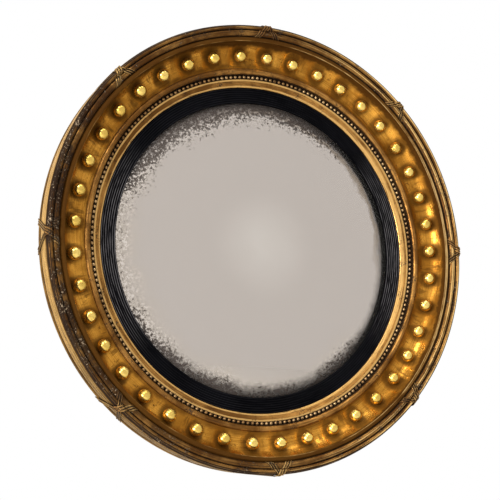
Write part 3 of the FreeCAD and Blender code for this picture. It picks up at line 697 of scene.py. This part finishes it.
# %% Slip
SIGHT_RADIUS = 205.8
SIGHT_DEPTH = 26.1
SLIP_WIDTH = 21.33
SLIP_FACE = 27.5
SLIP_FALL = 2.0
SLIP_REEDS = 7
SLIP_CROWN = 0.8
SLIP_EDGE = 233.6
SLIP_BACK = 214.5
slip_outline = [(SIGHT_RADIUS, SIGHT_DEPTH)]
for reed in range(SLIP_REEDS):
    share = reed / SLIP_REEDS
    slip_outline.append((SIGHT_RADIUS + SLIP_WIDTH * share, SLIP_FACE + SLIP_FALL * share,
                         SLIP_CROWN))
slip_outline += [EDGE_FOOT, (SLIP_EDGE, EDGE_FOOT[1]), (SLIP_EDGE, RIM_BACK),
                 (SLIP_BACK, RIM_BACK)]
slip = turn("ebonised_reeds", slip_outline, fineness=0.45)
slip_grooves = [corner[:2] for corner in slip_outline[1:SLIP_REEDS + 1]] + [EDGE_FOOT]
slip_crests = [((before[0] + after[0]) / 2, (before[1] + after[1]) / 2 + SLIP_CROWN)
               for before, after in zip(slip_grooves, slip_grooves[1:])]
mark_near(slip, "groove", slip_grooves, reach=1.0)
mark_near(slip, "crest", slip_crests, reach=0.7)

# %% Finish of the slip
BLACK = (0.0012, 0.0012, 0.0020)
FADED_BLACK = (0.004, 0.004, 0.0055)
RUB_AND_HIGHLIGHT_GREY = (0.19, 0.18, 0.185)


def ebonised():
    """Black stain under thin polish, greyer in random rubs, with a painted grey highlight on the
    crests at the left and right, and black in the grooves with dirt and painted shade.
    """
    finish = Finish("ebonised_polish")
    radius, depth, _, sides = round_axis(finish)
    fibre = noise(finish, 1, 3, 0.6, along_turning(radius, depth, sides, 14, 900))
    cloud = noise(finish, 18, 3)
    rubs = step(noise(finish, 300, 5, 0.7) * 0.5 + fibre * 0.5, 0.60, 0.70)
    groove, crest = mark_of(finish, "groove"), mark_of(finish, "crest")
    sideways = abs(sides[0] / radius)
    # A painted grey highlight on the crests, strongest at the left and right of the ring where the
    # reeds face the window lamp.
    rubbed = crest * step(fibre, 0.35, 0.60) * step(sideways, 0.75, 1.0, 0.05, 1.0)
    tone = blend(BLACK, FADED_BLACK, step(cloud, 0.35, 0.65))
    tone = blend(tone, RUB_AND_HIGHLIGHT_GREY, largest(rubs * 0.03, rubbed))
    # Black in the grooves: dirt and painted shade.
    tone = blend(tone, (0.001, 0.001, 0.0012), groove)
    rough = 0.15 + rubs * 0.2 + groove * 0.3 + cloud * 0.08
    return finish.wear(Base_Color=tone, Roughness=rough, Normal=bump(fibre, 0.00008),
                       Specular_IOR_Level=0.015)


dress(slip, ebonised(), ["ebonised_slip"])

# %% [markdown]
# ## Glass and silvering
#
# The plate is a shallow dome of glass with its silver on the back.  Real glass in front
# of silver would send every ray through two more surfaces, and the foxing behind it
# would come out as noise.  So the glass is a clear film with only a little of its own
# body, and the silver behind it is the mirror.  Foxing is where the silver has gone:
# dull grey-brown specks that crowd towards the edge.  Where the mirror shows the dark
# slip and the frame again, a painted reflection and shade darken the silver at its rim,
# with a thin painted brown reflection of the gilding at the right.  The paler middle
# is a painted highlight, and the yellow haze at the sides is partly a painted sheen.

# %% Domes
DOME_CENTRE = -952.8
GLASS_OUTSIDE = 1000.0
GLASS_THICKNESS = 3.0
GLASS_RADIUS = 213.0
SILVER_GAP = 0.3
SILVER_THICKNESS = 0.2
SILVER_MARGIN = 2.0


def dome(name, outside, inside, edge):
    """A domed plate between two spheres about one centre."""
    def depth_at(radius, sphere):
        return DOME_CENTRE + math.sqrt(sphere ** 2 - radius ** 2)

    def crown(sphere, rim):
        half = math.hypot(rim, sphere - math.sqrt(sphere ** 2 - rim ** 2)) / 2
        return sphere - math.sqrt(sphere ** 2 - half ** 2)

    rim = edge * inside / outside
    return turn(name, [
        (0, DOME_CENTRE + outside, crown(outside, edge)), (edge, depth_at(edge, outside)),
        (rim, depth_at(rim, inside), -crown(inside, rim)), (0, DOME_CENTRE + inside),
    ], fineness=4)


glass = dome("mirror_plate", GLASS_OUTSIDE, GLASS_OUTSIDE - GLASS_THICKNESS, GLASS_RADIUS)
silver_front = GLASS_OUTSIDE - GLASS_THICKNESS - SILVER_GAP
silver = dome("silver_back", silver_front, silver_front - SILVER_THICKNESS,
              GLASS_RADIUS - SILVER_MARGIN)

# %% Finish of the glass
def clear_glass():
    """A faint film of grey over whatever lies behind it, with ripples and smears."""
    finish = Finish("old_plate_glass")
    smears = step(noise(finish, 14, 3), 0.4, 0.7, 0.0, 0.04)
    return finish.wear(Base_Color=(0.45, 0.43, 0.40), Roughness=smears, Alpha=0.025,
                       Normal=bump(noise(finish, 5, 1), 0.0004), IOR=1.5)


dress(glass, clear_glass(), ["mirror_glass"])

# %% Finish of the silvering
SILVER = (0.525, 0.472, 0.428)
PALE_MIDDLE_HIGHLIGHT = (0.625, 0.575, 0.525)
CLOUDED = (0.48, 0.425, 0.375)
YELLOW_HAZE_AND_SHEEN = (0.52, 0.43, 0.31)
DARK_RIM_REFLECTION_AND_SHADE = (0.016, 0.012, 0.010)
GILT_REFLECTION_BROWN = (0.20, 0.13, 0.06)
FOXED = (0.038, 0.026, 0.021)
BRIGHT_FLECK = (0.82, 0.74, 0.68)


def side_of(angle, middle, reach, fade):
    """1 within reach of an angle, 0 beyond the fade, in degrees."""
    away = abs(off_middle((angle - math.radians(middle)) / FULL_TURN + 1.5))
    return step(away * 360, reach + fade, reach)


def foxed_silver():
    """Silver with a painted pale highlight in the middle, speckled loss at the top edge, a hazy
    yellow with painted sheen at the sides, and painted reflection and shade at the rim.
    """
    finish = Finish("foxed_silvering")
    radius, _, angle, _ = round_axis(finish)
    cloud = noise(finish, 6, 4, 0.6)
    bank = noise(finish, 22, 5, 0.65)
    grain = noise(finish, 260, 3, 0.75)
    top = side_of(angle, 104, 34, 40)
    left = side_of(angle, 180, 30, 30)
    low = side_of(angle, 256, 36, 44)
    right = side_of(angle, 48, 30, 46)

    inward = radius + (bank - 0.5) * 0.05 + (cloud - 0.5) * 0.03
    loss = largest(step(inward, 0.162, 0.212) * top,
                   step(inward, 0.184, 0.214) * largest(left * 0.35, low) * 0.85)
    fox = step(grain + loss * 0.34, 0.62, 0.70) * step(loss, 0.0, 0.10)
    # The dark rim is a painted reflection of the slip and a painted shade, wider at the right,
    # bottom and top, and almost none at the left.
    shaded = right * 0.0020 + low * 0.0050 + top * 0.0035
    rim_reflection_and_shade = step(radius + (bank - 0.5) * 0.016 + (grain - 0.5) * 0.007 + shaded, 0.187, 0.207)
    rim_reflection_and_shade = rim_reflection_and_shade * (1 - left * 0.92)
    pale = step(inward, 0.172, 0.198) * largest(left, low * 0.5, top * 0.7)
    flecks = step(grain, 0.49, 0.40) * pale
    # The yellow haze at the sides is partly a painted sheen.
    haze_and_sheen = step(inward, 0.160, 0.205) * largest(left, low * 0.8, top * 0.5)
    # A thin painted brown reflection of the gilding, at the right.
    gilt_reflection = step(inward, 0.186, 0.192) * step(inward, 0.200, 0.194) * right

    # The paler middle is a painted highlight.
    tone = blend(SILVER, PALE_MIDDLE_HIGHLIGHT, step(radius, 0.085, 0.0))
    tone = blend(tone, CLOUDED, step(cloud, 0.5, 0.75) * 0.2)
    tone = blend(tone, YELLOW_HAZE_AND_SHEEN, haze_and_sheen * 0.3)
    tone = blend(tone, DARK_RIM_REFLECTION_AND_SHADE, rim_reflection_and_shade * 0.97)
    tone = blend(tone, GILT_REFLECTION_BROWN, gilt_reflection * 0.45)
    tone = blend(tone, FOXED, fox * 0.93)
    tone = blend(tone, BRIGHT_FLECK, flecks * (1 - rim_reflection_and_shade * 0.85) * 0.6)
    rough = 0.02 + haze_and_sheen * 0.05 + largest(rim_reflection_and_shade * 0.2, fox * 0.4)
    return finish.wear(Base_Color=tone, Roughness=rough, Metallic=1 - fox * 0.6,
                       Specular_IOR_Level=0.1)


dress(silver, foxed_silver(), ["silvering"])

# %% [markdown]
# ## Crossed ribbons
#
# Each tie is two carved bands that cross on the shoulder, spread over the reeds
# towards the lip and run down the side.  A band starts as a flat grid.  Its points
# are then moved: one coordinate runs along the band, the other across it, and the
# height has a raised edge on each side.  A curve with a bevel could make a band too,
# but it would not lie down on the reeds.

# %% The run of a ribbon
RIBBON_LINE = [(288.75, 66.9, 3.6), (297.93, 70.2, 3.9), (303.6, 70.7, 0.9), (305.4, 65.2, 0.3),
               (305.4, 26.0)]
CROSSING_RADIUS = 0.3030


def ribbon_run():
    """Points over the reeds from the lip to the wall, in order."""
    guide = bmesh.new()
    outline(guide, RIBBON_LINE, fineness=0.7, closed=False)
    walk = [min(guide.verts, key=lambda vert: vert.co.x)]
    while ahead := [vert for edge in walk[-1].link_edges for vert in edge.verts
                    if vert not in walk]:
        walk.append(ahead[0])
    points = [vert.co.copy() for vert in walk]
    guide.free()
    return points


run = ribbon_run()
lengths = [0.0]
for before, after in zip(run, run[1:]):
    lengths.append(lengths[-1] + (after - before).length)
crossing_at = next(length for point, length in zip(run, lengths) if point.x > CROSSING_RADIUS)
print("ribbon run", len(run), "points,", round(lengths[-1] / MM, 1), "mm, crossing at",
      round(crossing_at / MM, 1))


def on_run(distance, height):
    """The point at a distance along the run, lifted off the wood by a height."""
    distance = min(max(distance, 0.0), lengths[-1] - 1e-9)
    index = next(i for i in range(1, len(lengths)) if lengths[i] >= distance)
    start, end = run[index - 1], run[index]
    along = (end - start).normalized()
    off_wood = Vector((along.y, -along.x, 0))
    return start + along * (distance - lengths[index - 1]) + off_wood * height


# %% Ribbon bands
TIE_COUNT = 8
TIE_PHASE = -2.4
RIBBON_HALF = 3.9
FACE_SPLAY = 15.5
SIDE_SPLAY = 19.0
BAND_EDGE, BAND_EDGE_WIDTH, BAND_EDGE_RISE = 0.78, 0.18, 0.8
SPINE_WIDTH, SPINE_RISE = 0.19, 0.5
BAND_BODY = 0.2
BAND_THICKNESS = 0.0009
BRIDGE_SHORTNESS = 3.2


def lay_ribbon(mesh, hand, lift):
    """One band of a tie, from the lip on one side to the wall on the other."""
    valley = mesh.verts.layers.float["valley"]
    made = bmesh.ops.create_grid(mesh, x_segments=46, y_segments=14, size=1.0)
    for vert in made["verts"]:
        way, across = vert.co.x, vert.co.y
        reach, splay = crossing_at, FACE_SPLAY
        if way >= 0:
            reach, splay = lengths[-1] - crossing_at, SIDE_SPLAY
        slope = math.atan2(splay * MM, reach)
        aside = hand * splay * MM * way + across * RIBBON_HALF * MM / math.cos(slope)
        edge = max(0.0, 1 - ((abs(across) - BAND_EDGE) / BAND_EDGE_WIDTH) ** 2)
        spine = max(0.0, 1 - (across / SPINE_WIDTH) ** 2)
        bridge = lift * math.exp(-(way * BRIDGE_SHORTNESS) ** 2)
        height = (BAND_BODY + BAND_EDGE_RISE * edge + SPINE_RISE * spine + bridge) * MM
        point = on_run(crossing_at + reach * way, height)
        angle = math.radians(TIE_PHASE) + aside / point.x
        vert.co = Vector((point.x * math.cos(angle), point.y, point.x * math.sin(angle)))
        vert[valley] = 1 - max(edge, spine)


ribbons = bmesh.new()
ribbons.verts.layers.float.new("valley")
lay_ribbon(ribbons, hand=1, lift=0.1)
lay_ribbon(ribbons, hand=-1, lift=0.75)
bmesh.ops.solidify(ribbons, geom=ribbons.faces[:], thickness=BAND_THICKNESS)
repeat_round(ribbons, TIE_COUNT)
ribbons = finish_mesh("ribbon_bands", ribbons, crease=50)
# The valley mark, between the raised edges and the spine, gathers dirt and painted shade.
ribbon_gilding = gild("ribbon_gilding", (0.52, 0.32, 0.11), (0.20, 0.095, 0.03), SOOT_AND_SHADE, worn_left,
                      low=0.4, rubbed=0.8, gloss=0.26, dents=0.6, groove="valley", chips=0.5)
dress(ribbons, ribbon_gilding, ["ribbon_ties"])

# %% [markdown]
# ## The back
#
# Behind, the frame is a hoop of bare softwood with a thin board let into it, held by
# slotted screws.  These nodes have the right shape already, so they only get a
# finish.  Wood needs its grain along the piece, growth rings that wander, and the
# grey-brown of a century on a wall.

# %% Woods
BOARD_PLANK = 0.142
GAP_DARK = (0.02, 0.013, 0.008)


def old_wood(name, pale, dark, grain, scale=1.0, planks=None):
    """Aged softwood with its grain along X or Z, in planks of a width if it's given."""
    finish = Finish(name)
    stretch, ring_way = ((9, 60, 60), "Z") if grain == "X" else ((60, 60, 9), "X")
    where = finish.node("ShaderNodeMapping", {}, {"Vector": place_of(finish), "Scale": stretch})
    wander = noise(finish, 1.2 * scale, 3, 0.5, where)
    rings = finish.node(
        "ShaderNodeTexWave", {"wave_type": "BANDS", "bands_direction": ring_way},
        {"Vector": place_of(finish), "Scale": 52 * scale, "Distortion": 3.5, "Detail": 3,
         "Detail Scale": 0.6})
    fibre = noise(finish, 14 * scale, 4, 0.7, where)
    stain = noise(finish, 9, 4)
    tone = blend(pale, dark, step(rings * 0.4 + wander * 0.6, 0.3, 0.8) * 0.8)
    tone = blend(tone, [part * 0.45 for part in dark], step(fibre, 0.56, 0.72) * 0.55)
    tone = blend(tone, [part * 0.35 for part in dark], step(stain, 0.52, 0.74) * 0.6)
    height = fibre * 0.6 + rings * 0.4
    if planks:
        x = finish.node("ShaderNodeSeparateXYZ", {}, {"Vector": place_of(finish)})
        gap = step(abs(off_middle(x / planks + 20.5)), 0.008, 0.003)
        tone = blend(tone, GAP_DARK, gap)
        height = height - gap * 2
    return finish.wear(Base_Color=tone, Roughness=0.72 + fibre * 0.15,
                       Normal=bump(height, 0.0004))


def dress_node(name, material):
    """A fixed node keeps its shape and only takes a finish."""
    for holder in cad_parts[name].material_slots:
        holder.material = material
    print(name, "finished")


pine = old_wood("bare_pine", (0.40, 0.26, 0.13), (0.22, 0.125, 0.055), grain="X")
board = old_wood("bare_board", (0.33, 0.22, 0.12), (0.17, 0.10, 0.05), grain="Z", scale=0.8,
                 planks=BOARD_PLANK)
for name in ("back_ring", "glazing_blocks"):
    dress_node(name, pine)
dress_node("back_board", board)

# %% [markdown]
# ## Metal and cork
#
# The D rings and their plates are brass that has gone brown, and the screws are iron
# with some rust.  Both are a metal with a duller, rougher layer over it in patches.
# Cork is made of cells: a Voronoi pattern gives each grain its own shade.

# %% Metals
def aged_metal(name, bright, tarnish, gloss, spread):
    """A metal with tarnish over it in patches, more of them the wider the spread."""
    finish = Finish(name)
    patch = noise(finish, 140, 5, 0.65)
    scratch = noise(finish, 900, 3, 0.6)
    dull = step(patch + (scratch - 0.5) * 0.2, 0.62 - spread, 0.72 - spread * 0.6)
    return finish.wear(Base_Color=blend(bright, tarnish, dull), Metallic=1 - dull * 0.6,
                       Roughness=gloss + dull * 0.3 + scratch * 0.1,
                       Normal=bump(scratch * 0.4 + dull * 0.6, 0.00006))


brass = aged_metal("brown_brass", (0.54, 0.36, 0.13), (0.15, 0.085, 0.032), 0.28, 0.11)
iron = aged_metal("dull_iron", (0.34, 0.32, 0.30), (0.11, 0.06, 0.04), 0.38, 0.10)
for side in ("left", "right"):
    dress_node(f"hanger_plate_{side}", brass)
    dress_node(f"d_ring_{side}", brass)
for name in ("back_board_screws", "frame_screws", "hanger_screws"):
    dress_node(name, iron)

# %% Cork
def cork_grains():
    """Grains of several browns with dark lines between them."""
    finish = Finish("pressed_cork")
    away, shade = finish.node("ShaderNodeTexVoronoi", {},
                              {"Vector": place_of(finish), "Scale": 620},
                              output=("Distance", "Color"))
    share = finish.node("ShaderNodeSeparateColor", {}, {"Color": shade})
    tone = blend((0.48, 0.31, 0.17), (0.26, 0.15, 0.075), share)
    tone = blend(tone, (0.10, 0.055, 0.03), step(away, 0.55, 0.8))
    return finish.wear(Base_Color=tone, Roughness=0.85, Normal=bump(1 - away, 0.0003))


dress_node("wall_pads", cork_grains())

# %% [markdown]
# ## Studio
#
# The photograph is a cut-out on white.  The world is white to the camera and in the
# gloss of the mirror, and dimmer to diffuse rays, so that the gilding isn't washed
# out.  The floor follows the same rule, and keeps the object's shadow.  It lies well
# below, as under a mirror on a wall.  Three soft lamps, at the left, high on the left
# and overhead, give the shading, and stand where the dome doesn't mirror them.

# %% World and floor
PLAIN_WORLD = 0.4
FLOOR_HEIGHT = -0.75
FLOOR_RADIUS = 2.0


def looked_at(finish):
    """1 for a ray from the camera, off a gloss or through glass, 0 for a diffuse ray."""
    return largest(*finish.node("ShaderNodeLightPath", output=(
        "Is Camera Ray", "Is Glossy Ray", "Is Transmission Ray")))


world = Finish("studio", "worlds", "Background")
bpy.context.scene.world = world.wear(
    Color=(1, 1, 1), Strength=step(looked_at(world), 0, 1, PLAIN_WORLD, 1))

floor = bmesh.new()
bmesh.ops.create_circle(floor, cap_ends=True, segments=64, radius=FLOOR_RADIUS,
                        matrix=Matrix.Translation((0, 0, FLOOR_HEIGHT)))
floor = finish_mesh("floor", floor)
pale_floor = Finish("pale_floor")
pale_floor.wear(Base_Color=blend((0.88, 0.88, 0.87), (0.84, 0.84, 0.83), noise(pale_floor, 3)),
                Roughness=0.8, Emission_Strength=0.3,
                Emission_Color=blend((0, 0, 0), (1, 1, 1), looked_at(pale_floor)))
floor.data.materials.append(pale_floor.material)

# %% Lamps
def soft_lamp(name, place, size, power, tint=(1, 1, 1)):
    """A square lamp that faces the mirror."""
    lamp = bpy.data.lights.new(name, "AREA")
    lamp.shape, lamp.size, lamp.energy, lamp.color = "SQUARE", size, power, tint
    holder = bpy.data.objects.new(name, lamp)
    holder.location = place
    holder.rotation_euler = (-holder.location).to_track_quat("-Z", "Y").to_euler()
    bpy.context.scene.collection.objects.link(holder)
    print(name, "lamp,", power, "W")


soft_lamp("window", (-2.1, -1.1, 0.2), 0.9, 62, (1, 0.985, 0.96))
soft_lamp("high_left", (-1.2, -1.7, 2.0), 0.8, 26)
soft_lamp("overhead", (0.5, -0.9, 2.2), 1.0, 12)

# %% [markdown]
# ## Camera
#
# The camera was found by fitting the circles of the frame to the photograph: it
# stands about 26 degrees to the left and 8 degrees below, 1.3 m away.

# %% Camera
CAMERA_PLACE = Vector((-0.55828, -1.19265, -0.18234))
CAMERA_RIGHT = Vector((0.90816, -0.41379, -0.06338))
CAMERA_UP = Vector((0.0, -0.15141, 0.98847))
CAMERA_BACK = Vector((-0.41862, -0.89769, -0.13750))
LENS = 67.906
SENSOR = 36.0

camera_data = bpy.data.cameras.new("camera")
camera_data.lens, camera_data.sensor_width = LENS, SENSOR
camera = bpy.data.objects.new("camera", camera_data)
turn_of_camera = Matrix((CAMERA_RIGHT, CAMERA_UP, CAMERA_BACK)).transposed().to_4x4()
camera.matrix_world = Matrix.Translation(CAMERA_PLACE) @ turn_of_camera
bpy.context.scene.collection.objects.link(camera)
bpy.context.scene.camera = camera
bpy.context.scene.view_settings.view_transform = "Standard"
print("camera at", tuple(CAMERA_PLACE))
